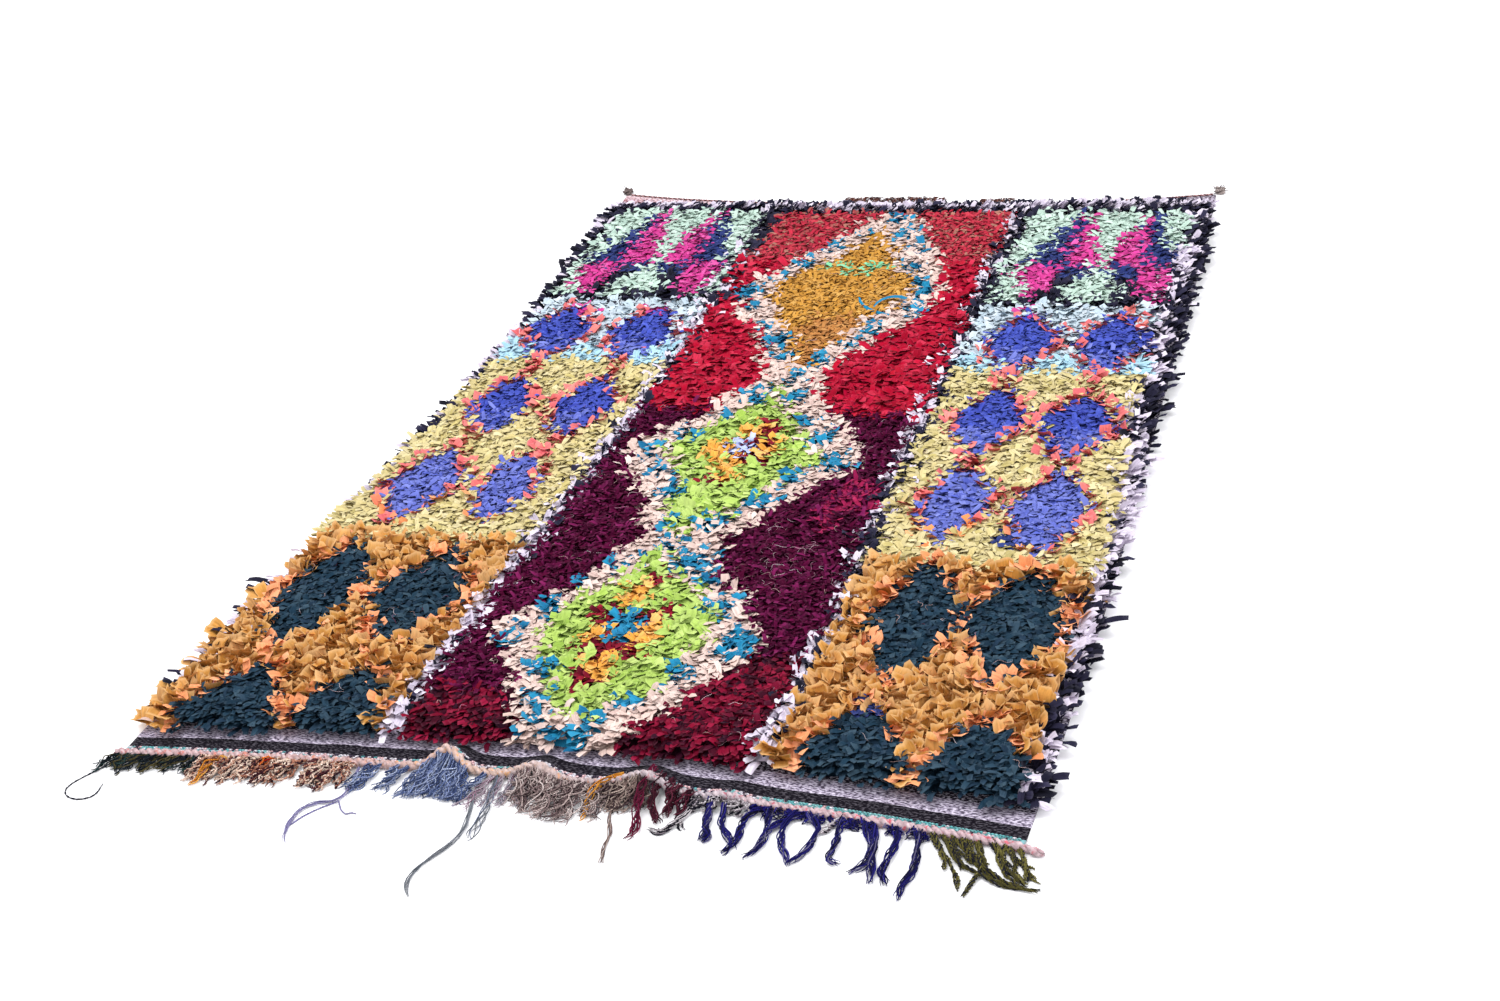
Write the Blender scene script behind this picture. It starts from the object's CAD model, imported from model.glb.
"""The looks of a boucherouite rag rug: knotted rags, woven ends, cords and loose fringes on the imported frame.

Metres, +Z up, +Y from the fringed near end to the far end. The tables of the pattern are in millimetres, across
and along from the near left corner of the rug, and those of the hanks in millimetres from the origin.
"""

import math
import zlib
from collections import namedtuple

import bpy
import numpy as np
from mathutils import Matrix, Vector


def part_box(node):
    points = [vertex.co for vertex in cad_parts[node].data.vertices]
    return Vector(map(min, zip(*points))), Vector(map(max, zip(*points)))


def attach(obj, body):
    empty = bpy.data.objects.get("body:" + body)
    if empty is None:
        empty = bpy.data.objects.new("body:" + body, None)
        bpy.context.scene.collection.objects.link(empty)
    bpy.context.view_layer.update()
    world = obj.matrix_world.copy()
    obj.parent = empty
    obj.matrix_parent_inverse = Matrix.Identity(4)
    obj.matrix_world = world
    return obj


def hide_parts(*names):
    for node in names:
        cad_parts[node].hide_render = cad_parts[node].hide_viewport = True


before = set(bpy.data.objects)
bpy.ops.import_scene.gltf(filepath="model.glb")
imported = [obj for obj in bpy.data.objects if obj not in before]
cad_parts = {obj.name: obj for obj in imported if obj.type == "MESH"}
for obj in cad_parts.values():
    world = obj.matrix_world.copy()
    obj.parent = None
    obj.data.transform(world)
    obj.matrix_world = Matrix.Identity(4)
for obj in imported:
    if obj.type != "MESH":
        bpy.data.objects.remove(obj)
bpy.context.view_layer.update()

# The solid model's dimensions, repeated because this script can't read them
CLOTH_THICKNESS = 0.003
HALF_WIDTH = 0.75
SIDE_Y = (-1.20, -0.90, -0.50, 0.00, 0.40, 0.80, 1.20)
SIDE_LEFT = (-0.757, -0.748, -0.722, -0.690, -0.682, -0.702, -0.726)
SIDE_RIGHT = (0.745, 0.757, 0.764, 0.757, 0.752, 0.750, 0.736)
NEAR_EDGE_Y = -1.163
NEAR_BOW = 0.044
NEAR_SKEW = -0.010
NEAR_CORNERS = (-0.757, 0.745)
FAR_EDGE_Y = 1.135
FAR_CORNER_PULL = 0.062
PILE_NEAR_Y = -1.090
PILE_NEAR_BOW = 0.046
PILE_FAR_Y = 1.066
PILE_FAR_PULL = 0.022
NEAR_CORD_OFFSET = 0.0060
NEAR_CORD_HEIGHT = 0.0063
NEAR_CORD_ENDS = (-0.767, 0.779)
FAR_CORD_OFFSET = 0.0043
FAR_CORD_HEIGHT = 0.0031
FAR_CORD_ENDS = (-0.7140, 0.7285)
RIPPLE_DEPTH = 0.050
Ripple = namedtuple("Ripple", "x half_width lift draw_in")
RIPPLES = (
    Ripple(-0.181, 0.030, 0.027, 0.018),
    Ripple(-0.030, 0.032, 0.014, 0.012),
    Ripple(0.152, 0.040, 0.018, 0.014),
    Ripple(0.290, 0.028, 0.004, 0.004),
)

# Where the pattern starts, and how the rags are set out. They lean towards the near end by the shift
PATTERN_X = -0.75
PATTERN_Y = -1.15
KNOT_ACROSS = 0.0136
KNOT_ALONG = 0.0180
KNOT_SCATTER = 0.004
LEAN_SHIFT = 0.006
HIGHEST = 0.0520

# Rows of knots across the far end: how far inside the pile's end, how often white, and how full on the left
FAR_ROWS_DEPTH = 0.042
FAR_ROWS = (
    (0.039, 0.00, 1.0), (0.030, 0.05, 1.0), (0.020, 0.90, 1.0), (0.012, 0.75, 0.8), (0.003, 0.10, 0.45),
)
FAR_ROW_PITCH = 0.0098
TAU = 2 * math.pi


def draws(name):
    """A source of random numbers of its own for each name."""
    return np.random.default_rng(zlib.crc32(name.encode()))


def metres(rows):
    return np.asarray(rows) / 1000


def unit(vectors, tiny=1e-9):
    return vectors / (np.linalg.norm(vectors, axis=-1, keepdims=True) + tiny)


def smooth_noise(x, y, size, name):
    """Soft noise from -1 to 1 that changes over about the given size."""
    cells = 256
    table = draws(name).uniform(-1, 1, (cells, cells))
    across, along = np.asarray(x) / size, np.asarray(y) / size
    column, row = np.floor(across).astype(int), np.floor(along).astype(int)
    u, v = across - column, along - row
    u, v = u * u * (3 - 2 * u), v * v * (3 - 2 * v)
    left, right = column % cells, (column + 1) % cells
    low, high = (
        table[line % cells, left] * (1 - u) + table[line % cells, right] * u
        for line in (row, row + 1)
    )
    return low * (1 - v) + high * v


def side_left(y):
    return np.interp(y, SIDE_Y, SIDE_LEFT)


def side_right(y):
    return np.interp(y, SIDE_Y, SIDE_RIGHT)


def ripple(x, column):
    return sum(getattr(row, column) * np.exp(-(((x - row.x) / row.half_width) ** 2)) for row in RIPPLES)


def lift(x, from_edge):
    """How far the cloth stands off the floor at a distance in from its near edge."""
    return ripple(x, "lift") * np.clip(1 - from_edge / RIPPLE_DEPTH, 0, 1) ** 1.5


def near_edge(x):
    share = x / HALF_WIDTH
    return NEAR_EDGE_Y + NEAR_BOW * (1 - share * share) + NEAR_SKEW * share + ripple(x, "draw_in")


def far_edge(x):
    return FAR_EDGE_Y + FAR_CORNER_PULL * np.abs(x / HALF_WIDTH) ** 3


def pile_front(x):
    return PILE_NEAR_Y + PILE_NEAR_BOW * (1 - (x / HALF_WIDTH) ** 2)


def pile_back(x):
    return PILE_FAR_Y + PILE_FAR_PULL * (x / HALF_WIDTH) ** 2


def inside_pile(x, y, from_sides, from_front, from_back):
    """The places that lie inside the pile by the given distances."""
    inside = (x > side_left(y) + from_sides) & (x < side_right(y) - from_sides)
    return inside & (y > pile_front(x) + from_front) & (y < pile_back(x) - from_back)


def beside(edge, x, distance):
    """The y of a line that runs at an even distance outside one of the cloth's end edges."""
    step = 0.001
    slope = (edge(x + step) - edge(x - step)) / (2 * step)
    return edge(x) + distance * np.sqrt(1 + slope * slope)


def cloth_top(x, y):
    """The height of what lies under a point: the cloth, or the floor beside it."""
    inside = (x > side_left(y)) & (x < side_right(y)) & (y > near_edge(x)) & (y < far_edge(x))
    return np.where(inside, CLOTH_THICKNESS + lift(x, y - near_edge(x)), 0.0)


# How a kind of rag is cut and how it stands: leaves to a knot, how high over the cloth they come into sight,
# lengths and widths, elevation at root and tip in degrees, how often it turns to the near side, how far it
# cups in radians, its rings and points across, its width at the tip and middle against the widest, how ragged
# the tip is, and how far its corners are rounded off
Cut = namedtuple("Cut", "leaves root length width rise fall near cup rings across tip belly jag round")
CUTS = {
    "petal": Cut(2, 0.008, 0.033, 0.0335, 80, 36, 0.45, 0.55, 4, 5, 0.92, 1.00, 0.20, 0.06),
    "shaggy": Cut(7, 0.019, 0.026, 0.0105, 42, -14, 0.40, 0.60, 4, 2, 0.72, 0.95, 0.15, 0.0),
    "strip": Cut(7, 0.021, 0.028, 0.0112, 32, -14, 0.40, 0.55, 4, 2, 0.85, 1.00, 0.15, 0.0),
    "leafy": Cut(4, 0.020, 0.026, 0.0185, 38, -8, 0.40, 0.60, 4, 3, 0.90, 1.00, 0.16, 0.05),
    "gloss": Cut(5, 0.022, 0.030, 0.0160, 28, -12, 0.40, 0.45, 4, 3, 0.85, 1.00, 0.14, 0.0),
    "frill": Cut(6, 0.0205, 0.026, 0.0135, 36, -8, 0.40, 0.55, 4, 2, 0.85, 1.00, 0.15, 0.0),
    "fine": Cut(8, 0.019, 0.025, 0.0088, 46, -14, 0.40, 0.60, 3, 2, 0.65, 0.95, 0.15, 0.0),
    "curl": Cut(7, 0.020, 0.026, 0.0082, 42, -26, 0.35, 0.70, 4, 2, 0.80, 1.00, 0.12, 0.0),
    "block": Cut(4, 0.021, 0.022, 0.0180, 44, 0, 0.40, 0.60, 4, 3, 0.90, 1.00, 0.16, 0.04),
    "leaf": Cut(3, 0.017, 0.027, 0.0235, 58, 14, 0.45, 0.60, 4, 3, 0.90, 1.00, 0.14, 0.10),
    "border": Cut(3, 0.014, 0.032, 0.0175, 44, -2, 0.10, 1.20, 4, 3, 0.85, 0.95, 0.10, 0.10),
}

# Each kind of rag: its cut, its roughness, how deep its creases are, how frayed it is, and its colours as a
# screen shows them, from 0 to 255. A rag takes one of them
Kind = namedtuple("Kind", "cut roughness crease fray colours")
KINDS = {
    "mustard": Kind("petal", 0.80, 0.25, 0.16, ((198, 142, 72), (180, 124, 56), (208, 156, 92),
        (190, 134, 64), (212, 164, 110))),
    "peach": Kind("leaf", 0.82, 0.30, 0.20, ((232, 156, 112), (224, 146, 98), (240, 172, 130),
        (216, 136, 88))),
    "dark_teal": Kind("shaggy", 0.72, 0.55, 0.24, ((26, 48, 64), (38, 60, 76), (18, 36, 50), (32, 50, 68),
        (52, 72, 86))),
    "straw": Kind("strip", 0.85, 0.60, 0.12, ((202, 188, 138), (190, 174, 118), (210, 198, 156),
        (178, 164, 106))),
    "royal_blue": Kind("shaggy", 0.78, 0.50, 0.10, ((60, 74, 166), (74, 88, 178), (48, 58, 146),
        (66, 80, 170))),
    "cornflower": Kind("shaggy", 0.80, 0.50, 0.12, ((100, 110, 186), (86, 96, 176), (114, 124, 194),
        (76, 88, 172))),
    "coral": Kind("leaf", 0.80, 0.35, 0.18, ((216, 112, 112), (204, 98, 104), (226, 134, 126),
        (212, 104, 102))),
    "orange_peach": Kind("leaf", 0.80, 0.35, 0.18, ((232, 148, 92), (226, 132, 84), (238, 168, 118),
        (222, 120, 92))),
    "pale_grey": Kind("leafy", 0.75, 0.40, 0.10, ((188, 203, 212), (176, 194, 204), (198, 208, 216),
        (166, 182, 194))),
    "light_blue": Kind("strip", 0.78, 0.40, 0.10, ((160, 198, 214), (174, 206, 220), (148, 188, 206))),
    "black": Kind("border", 0.72, 0.55, 0.08, ((38, 36, 54), (30, 30, 46), (48, 46, 68), (26, 26, 36))),
    "white": Kind("border", 0.80, 0.55, 0.10, ((216, 206, 222), (202, 192, 210), (226, 218, 232),
        (186, 176, 194))),
    "mint": Kind("strip", 0.85, 0.55, 0.10, ((184, 208, 194), (172, 196, 182), (196, 214, 204),
        (162, 186, 174))),
    "navy": Kind("strip", 0.75, 0.50, 0.55, ((42, 52, 104), (32, 42, 88), (52, 64, 120), (36, 48, 104))),
    "magenta": Kind("strip", 0.75, 0.45, 0.14, ((200, 62, 140), (186, 50, 126), (210, 90, 158),
        (170, 44, 116))),
    "crimson": Kind("shaggy", 0.55, 0.50, 0.12, ((118, 12, 40), (98, 10, 34), (142, 24, 56),
        (76, 8, 30))),
    "oxblood": Kind("shaggy", 0.60, 0.50, 0.10, ((60, 12, 28), (46, 10, 24), (40, 14, 30), (88, 16, 38))),
    "aubergine": Kind("fine", 0.62, 0.50, 0.26, ((72, 6, 40), (54, 5, 32), (86, 8, 52), (44, 5, 26),
        (112, 26, 76))),
    "wine": Kind("fine", 0.62, 0.50, 0.12, ((143, 26, 69), (122, 20, 65), (161, 36, 78), (86, 15, 61))),
    "red": Kind("gloss", 0.45, 0.45, 0.22, ((156, 6, 38), (134, 4, 30), (174, 20, 50), (148, 4, 40),
        (162, 8, 34), (186, 42, 68))),
    "mottled_red": Kind("curl", 0.62, 0.45, 0.25, ((174, 42, 60), (158, 34, 54), (188, 60, 74),
        (146, 30, 50), (156, 108, 94))),
    "cream": Kind("frill", 0.85, 0.60, 0.12, ((214, 190, 180), (204, 178, 168), (222, 202, 194),
        (192, 166, 158))),
    "lime": Kind("leafy", 0.80, 0.50, 0.16, ((164, 190, 96), (148, 178, 76), (182, 202, 118),
        (138, 168, 72))),
    "blood": Kind("shaggy", 0.60, 0.50, 0.10, ((124, 22, 40), (100, 16, 34), (142, 30, 46),
        (84, 14, 30))),
    "orange": Kind("block", 0.75, 0.40, 0.16, ((222, 160, 71), (212, 144, 58), (227, 179, 106))),
    "teal_blue": Kind("block", 0.70, 0.50, 0.12, ((34, 126, 164), (26, 114, 152), (50, 140, 178),
        (28, 100, 140))),
    "periwinkle": Kind("block", 0.80, 0.40, 0.10, ((176, 186, 232), (160, 170, 222), (192, 202, 240))),
    "ochre": Kind("curl", 0.85, 0.55, 0.14, ((194, 142, 62), (180, 126, 50), (204, 158, 86),
        (164, 114, 46))),
    "tan": Kind("curl", 0.85, 0.55, 0.12, ((174, 117, 63), (161, 104, 56), (187, 135, 79))),
    "sea_green": Kind("curl", 0.80, 0.50, 0.12, ((120, 196, 150), (104, 182, 140), (140, 206, 164))),
}
KIND_NAMES = tuple(KINDS)
INDEX = {name: k for k, name in enumerate(KIND_NAMES)}

# A kind whose first colour adds up to less than this is dark all the way down. Others pale towards the root
DARK_SUM = 240

# The rug's columns at places along it: side panels, centre panel and the dividers between
COLUMNS = {
    "along": (0, 300, 500, 650, 850, 1200, 1400, 1750, 2200),
    "left_start": (0, 35, 40, 20, 60, 85, 90, 90, 88),
    "left_end": (425, 430, 435, 440, 445, 455, 458, 448, 448),
    "centre_start": (465, 465, 470, 480, 485, 495, 500, 492, 502),
    "centre_end": (1045, 1060, 1075, 1060, 1052, 1052, 1052, 1042, 1050),
    "right_start": (1075, 1095, 1105, 1100, 1092, 1092, 1092, 1090, 1102),
    "right_end": (1464, 1475, 1481, 1488, 1485, 1460, 1460, 1455, 1462),
}

# Bands of ground colour from the near end, each up to a place along the rug
SIDE_BANDS = (
    (650, "mustard"), (1375, "straw"), (1450, "light_blue"), (1665, "pale_grey"), (1705, "black"),
    (2165, "mint"), (2400, "black"),
)
CENTRE_BANDS = ((1180, "aubergine"), (1880, "red"), (2180, "mottled_red"), (2400, "black"))

# The dark red ground of the near end: where it stops, left to right, and how much of it is the brighter kind
DARK_RED_END = ((0.70, 0.84), (0.205, 0.350))
CRIMSON_SHARE = 0.56

# Diamonds of the side panels: filling, edge and edge width, then middle across and along, and half-sizes
DIAMONDS = (
    ("dark_teal", "peach", 16, ((148, 85, 88, 130), (335, 105, 80, 125))),
    ("dark_teal", "peach", 18, ((133, 445, 75, 180), (325, 455, 84, 165))),
    ("dark_teal", "peach", 16, ((1207, 105, 85, 130), (1400, 95, 78, 135))),
    ("dark_teal", "peach", 18, ((1217, 475, 72, 180), (1385, 480, 88, 170))),
    ("navy", "peach", 10, ((1202, 243, 18, 26),)),
    ("cornflower", "coral", 12, (
        (158, 835, 78, 142), (335, 845, 63, 133), (1202, 850, 65, 138), (1375, 840, 71, 142),
    )),
    ("royal_blue", "coral", 12, (
        (186, 1165, 65, 123), (360, 1165, 69, 128), (1200, 1160, 71, 138), (1370, 1155, 73, 133),
        (180, 1500, 73, 128), (370, 1505, 73, 128), (1200, 1500, 73, 133), (1380, 1500, 73, 133),
    )),
)
DIAMOND_ROUNDING = 1.25

# Lines of coral rags that join the diamonds' tips: across and along at the start, then at the end
LINES = (
    (155, 960, 186, 1060), (345, 960, 355, 1050), (1200, 970, 1200, 1040), (1372, 970, 1368, 1040),
    (190, 1275, 180, 1385), (365, 1280, 368, 1390), (1198, 1285, 1198, 1380), (1366, 1275, 1372, 1380),
)
LINE_HALF_WIDTH = 0.013

# The mirrored zigzag of the far side panels: place along, then three edges as distances out from the middle
ZIGZAG_UPPER = (
    (1865, 12, 90, 165), (1900, 14, 90, 160), (1950, 18, 86, 142), (2050, 36, 74, 115),
    (2120, 52, 74, 100), (2175, 74, 76, 96),
)
ZIGZAG_LOWER = (
    (1700, 62, 110, 132), (1740, 52, 108, 145), (1800, 30, 88, 165), (1865, 12, 88, 172),
)
ZIGZAG_MIDDLES = (0.272, 1.297)
ZIGZAG_REACH = 0.2
ZIGZAG_DARK = 1.82

# Medallions of the centre panel: place along, outer edges of the cream ring, then the edges of its filling
NEAR_MEDALLION = (
    (60, 670, 810, 740, 741), (120, 655, 830, 740, 741), (160, 635, 860, 715, 775),
    (200, 605, 900, 680, 820), (250, 600, 920, 650, 858), (300, 550, 950, 620, 868),
    (350, 530, 975, 600, 880), (400, 515, 975, 600, 898), (450, 560, 945, 610, 865),
    (500, 600, 925, 625, 855), (550, 605, 870, 680, 800), (600, 640, 830, 702, 745),
    (650, 650, 830, 712, 738), (690, 665, 800, 740, 741),
)
MIDDLE_MEDALLION = (
    (680, 665, 805, 740, 741), (720, 660, 825, 705, 750), (760, 635, 860, 700, 765),
    (800, 635, 870, 690, 820), (850, 610, 900, 680, 835), (900, 560, 935, 675, 875),
    (950, 540, 980, 640, 885), (1000, 530, 990, 600, 910), (1050, 540, 965, 605, 860),
    (1100, 600, 935, 660, 845), (1150, 635, 890, 690, 815), (1200, 635, 875, 720, 780),
    (1250, 665, 850, 738, 765), (1300, 705, 830, 750, 751), (1350, 700, 820, 750, 751),
)
FAR_MEDALLION = (
    (1330, 700, 810, 765, 766), (1380, 675, 840, 745, 785), (1440, 660, 865, 720, 800),
    (1500, 640, 890, 705, 820), (1550, 595, 925, 680, 845), (1600, 555, 960, 650, 855),
    (1650, 550, 970, 630, 895), (1700, 530, 980, 600, 915), (1750, 515, 990, 605, 905),
    (1800, 560, 970, 615, 895), (1850, 600, 955, 650, 860), (1900, 610, 920, 700, 830),
    (1950, 650, 915, 712, 820), (2000, 670, 900, 740, 795), (2050, 700, 870, 755, 782),
    (2100, 715, 855, 770, 771), (2150, 755, 825, 770, 771),
)
MEDALLIONS = ((NEAR_MEDALLION, "lime"), (MIDDLE_MEDALLION, "lime"), (FAR_MEDALLION, "ochre"))

# Patches set into the medallions and panels, in the order in which they cover each other: kind, then middle
# across and along, half width and half length
PATCHES = (
    ("wine", ((1020, 860, 50, 50), (985, 790, 18, 60))),
    ("blood", (
        (735, 340, 68, 30), (690, 430, 20, 30), (780, 420, 30, 50), (730, 250, 30, 30),
        (740, 550, 18, 20),
    )),
    ("orange", ((722, 505, 24, 42), (692, 378, 28, 30), (785, 385, 32, 36), (735, 285, 26, 32))),
    ("teal_blue", (
        (732, 400, 26, 48), (745, 100, 30, 26), (675, 140, 15, 18), (778, 145, 20, 15),
        (665, 190, 20, 18), (820, 190, 26, 14), (638, 270, 30, 22), (878, 270, 14, 30),
        (550, 345, 15, 26), (940, 375, 28, 46), (586, 450, 19, 32), (880, 475, 18, 32),
        (830, 565, 18, 22), (615, 538, 12, 16), (670, 600, 28, 20), (792, 615, 30, 32),
        (728, 668, 20, 14),
    )),
    ("blood", ((765, 1010, 62, 46), (775, 1100, 18, 52), (733, 885, 12, 12))),
    ("orange", ((755, 1095, 21, 34), (706, 1010, 24, 36), (806, 1020, 20, 40), (750, 942, 25, 42))),
    ("periwinkle", ((756, 1014, 24, 30),)),
    ("teal_blue", (
        (695, 745, 16, 34), (785, 745, 31, 24), (665, 840, 22, 32), (850, 830, 26, 20),
        (620, 922, 26, 18), (886, 912, 17, 34), (576, 995, 21, 30), (945, 985, 21, 30),
        (622, 1062, 15, 20), (895, 1078, 20, 34), (666, 1145, 15, 22), (845, 1140, 22, 20),
        (710, 1240, 20, 34), (800, 1235, 13, 36), (765, 1315, 13, 34),
    )),
    ("tan", ((765, 1440, 26, 70), (775, 1540, 60, 60))),
    ("sea_green", ((700, 1862, 24, 10), (742, 1852, 12, 26), (795, 1850, 12, 26), (830, 1864, 20, 10))),
    ("teal_blue", (
        (716, 1415, 20, 26), (681, 1485, 21, 34), (632, 1540, 18, 20), (585, 1640, 13, 20),
        (541, 1705, 24, 36), (592, 1780, 12, 20), (630, 1870, 13, 28), (680, 1955, 13, 36),
        (735, 2040, 11, 22), (801, 1390, 14, 28), (842, 1475, 20, 22), (878, 1545, 13, 28),
        (938, 1640, 22, 32), (945, 1735, 18, 28), (920, 1790, 12, 22), (888, 1862, 20, 28),
        (874, 1950, 20, 24), (826, 2040, 20, 34), (780, 2120, 16, 30),
    )),
    ("navy", ((1318, 740, 22, 22), (380, 1300, 18, 14))),
    ("magenta", ((195, 1620, 22, 18), (356, 1625, 18, 18), (1182, 1640, 12, 14))),
)

# Where loose threads lie most
THREAD_SHARES = (
    (("aubergine", "wine", "crimson", "oxblood"), 0.75),
    (("dark_teal", "navy"), 0.45),
    (("mustard", "peach"), 0.25),
    (("red", "mottled_red", "ochre", "tan"), 0.25),
)

# Single rags: from a place in a direction in degrees, turning and falling as they go
Stray = namedtuple("Stray", "kind x y z heading turn rise fall length width")
STRAYS = (
    Stray("black", -0.726, -0.668, 0.012, 176, 10, 30, -12, 0.064, 0.027),
    Stray("black", -0.728, -0.748, 0.012, 165, 15, 30, -14, 0.050, 0.022),
    Stray("white", -0.728, -0.640, 0.010, 190, -15, 35, -10, 0.036, 0.014),
    Stray("black", 0.748, -0.632, 0.012, 8, 20, 30, -14, 0.066, 0.018),
    Stray("black", 0.742, -1.040, 0.012, 0, 15, 35, -10, 0.050, 0.016),
    Stray("cream", -0.728, -1.082, 0.012, 190, 10, 45, -25, 0.040, 0.026),
    Stray("white", 0.730, -1.085, 0.010, -8, -30, 30, -20, 0.050, 0.018),
    Stray("black", 0.712, 0.770, 0.012, 20, -60, 30, -10, 0.055, 0.011),
    Stray("teal_blue", 0.055, 0.545, 0.038, -68, 62, 0, 0, 0.125, 0.011),
    Stray("teal_blue", 0.100, 0.500, 0.036, 75, -110, 12, -10, 0.085, 0.011),
)


def pattern(x, y):
    """The kind of rag at each place, as its index, painted from the ground up."""
    wander, size = 0.007, 0.022
    across = x - PATTERN_X + wander * smooth_noise(x, y, size, "across")
    along = y - PATTERN_Y + wander * smooth_noise(x, y, size, "along")
    chance = draws("pattern").random(across.shape)
    found = np.full(across.shape, INDEX["black"])

    def paint(where, kind):
        found[where] = INDEX[kind]

    column = {name: np.interp(along, metres(COLUMNS["along"]), metres(row)) for name, row in COLUMNS.items()}
    in_centre = (across > column["centre_start"]) & (across < column["centre_end"])
    in_sides = (across > column["left_start"]) & (across < column["left_end"])
    in_sides |= (across > column["right_start"]) & (across < column["right_end"])
    for bands, where in ((CENTRE_BANDS, in_centre), (SIDE_BANDS, in_sides)):
        for end, kind in reversed(bands):
            paint(where & (along < end / 1000), kind)
    dark_red = in_centre & (along < np.interp(across, *DARK_RED_END))
    paint(dark_red, "oxblood")
    paint(dark_red & (chance < CRIMSON_SHARE), "crimson")
    paint_medallions(across, along, in_centre, paint)
    paint_diamonds(across, along, chance, in_sides, paint)
    paint_zigzags(across, along, in_sides, paint)
    for kind, patches in PATCHES:
        for middle, place, half_width, half_length in metres(patches):
            reach = np.abs((across - middle) / half_width) ** 3 + np.abs((along - place) / half_length) ** 3
            paint(reach < 1, kind)
    paint_dividers(across, along, chance, column, paint)
    return found


def between(value, along, places, low, high):
    """Where a value lies between two lines that are given at places along the rug."""
    return (value > np.interp(along, places, low)) & (value < np.interp(along, places, high))


def paint_medallions(across, along, in_centre, paint):
    """Cream rings with their fillings."""
    for rings, filling in MEDALLIONS:
        places, left, right, inner_left, inner_right = metres(rings).T
        here = in_centre & (along > places[0]) & (along < places[-1])
        paint(here & between(across, along, places, left, right), "cream")
        paint(here & between(across, along, places, inner_left, inner_right), filling)


def paint_diamonds(across, along, chance, in_sides, paint):
    """Diamonds and the lines between their tips. Coral edges turn orange towards the near end."""
    for start, from_along, end, to_along in metres(LINES):
        share = np.clip((along - from_along) / (to_along - from_along), 0, 1)
        middle = start + (end - start) * share
        inside = in_sides & (along > from_along) & (along < to_along)
        paint(inside & (np.abs(across - middle) < LINE_HALF_WIDTH), "coral")
    for fill, edge, rim, shapes in DIAMONDS:
        for middle, place, half_width, half_length in metres(shapes):
            sideways, lengthways = np.abs(across - middle), np.abs(along - place)
            inside, ringed = (
                in_sides & ((sideways / (half_width + margin)) ** DIAMOND_ROUNDING
                            + (lengthways / (half_length + margin * 1.3)) ** DIAMOND_ROUNDING < 1)
                for margin in (0.0, rim / 1000)
            )
            paint(ringed & (chance < 0.75) if edge == "peach" else ringed, edge)
            if edge == "coral":
                paint(ringed & (along < 0.80) & (chance < 0.80), "orange_peach")
            paint(inside, fill)
            if fill == "royal_blue":
                paint(inside & (along < place - 0.03) & (chance < 0.75), "cornflower")


def paint_zigzags(across, along, in_sides, paint):
    """The navy and magenta zigzags on the mint ground of the far panels, black at their near ends."""
    for middle in ZIGZAG_MIDDLES:
        out = np.abs(across - middle)
        for rows, colours in ((ZIGZAG_UPPER, ("magenta", "navy")), (ZIGZAG_LOWER, ("navy", "magenta"))):
            places, inner, centre, outer = metres(rows).T
            here = in_sides & (out < ZIGZAG_REACH) & (along > places[0]) & (along < places[-1])
            first = here & between(out, along, places, inner, centre)
            paint(first, colours[0])
            paint(here & between(out, along, places, centre, outer), colours[1])
            paint(first & (along < ZIGZAG_DARK), "black")


# Gaps between the panels: from, to, how far the white half passes the middle, and how much less white
# there is in the other half
GAPS = (("left_end", "centre_start", 0.004, 0.25), ("centre_end", "right_start", 0.0, 0.35))


def paint_dividers(across, along, chance, column, paint):
    """The black and white strips between the panels and down both sides, and the rows across the far end."""
    clumps = smooth_noise(across, along, 0.026, "dividers")
    clumps = clumps + 0.5 * smooth_noise(across, along, 0.011, "clumps")
    white_share = np.interp(along, (0.0, 0.50, 0.62, 1.40, 1.80), (0.45, 0.35, -0.05, 0.05, -0.35))
    for start, end, shift, fewer in GAPS:
        gap = (across > column[start]) & (across < column[end])
        first_half = across < (column[start] + column[end]) / 2 + shift
        paint(gap, "black")
        paint(gap & (clumps < white_share + np.where(first_half, 0.25, -fewer)), "white")
    left_border = across < column["left_start"]
    right_start = column["right_end"] - np.interp(along, (0.30, 0.60, 1.3, 1.6), (0.000, 0.006, 0.006, 0.014))
    right_border = across > right_start
    paint(left_border | right_border, "black")
    streak = smooth_noise(across * 0.6, along, 0.013, "border")
    streak = streak + 0.5 * smooth_noise(across, along, 0.040, "side")
    rim_part = np.clip((across - right_start) / 0.050, 0, 1)
    corner = np.interp(along, (0.05, 0.15, 0.40), (0.30, 0.20, 0.00))
    inner = np.interp(along, (0.50, 0.90), (0.48, 0.70))
    bright = np.interp(along, (0.10, 0.50, 0.90), (0.16, 0.32, 0.44))
    paint(left_border & (streak < np.interp(along, (1.2, 1.7), (-0.12, -0.42))), "white")
    white_part = right_border & (rim_part > 0.04) & (rim_part < inner)
    paint(white_part & (streak < bright - 0.95 * rim_part - corner), "white")
    tufts = smooth_noise(across, along, 0.024, "tufts")
    covered = left_border & (along > 0.04) & (along < 0.64) & (tufts > 0.0) & (chance < 0.9)
    paint(covered & (across > np.interp(along, (0.04, 0.64), (-0.012, -0.005))), "mustard")
    paint(along > 2.165, "black")


def new_material(name, roughness, sheen=0.0):
    """A matt cloth material. Its constant values are set on the shader's own sockets."""
    material = bpy.data.materials.new(name)
    material.use_nodes = True
    shader = material.node_tree.nodes["Principled BSDF"]
    shader.inputs["Roughness"].default_value = roughness
    shader.inputs["Sheen Weight"].default_value = sheen
    shader.inputs["Sheen Roughness"].default_value = 0.45
    shader.inputs["Specular IOR Level"].default_value = 0.02
    return material, material.node_tree, shader


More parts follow.
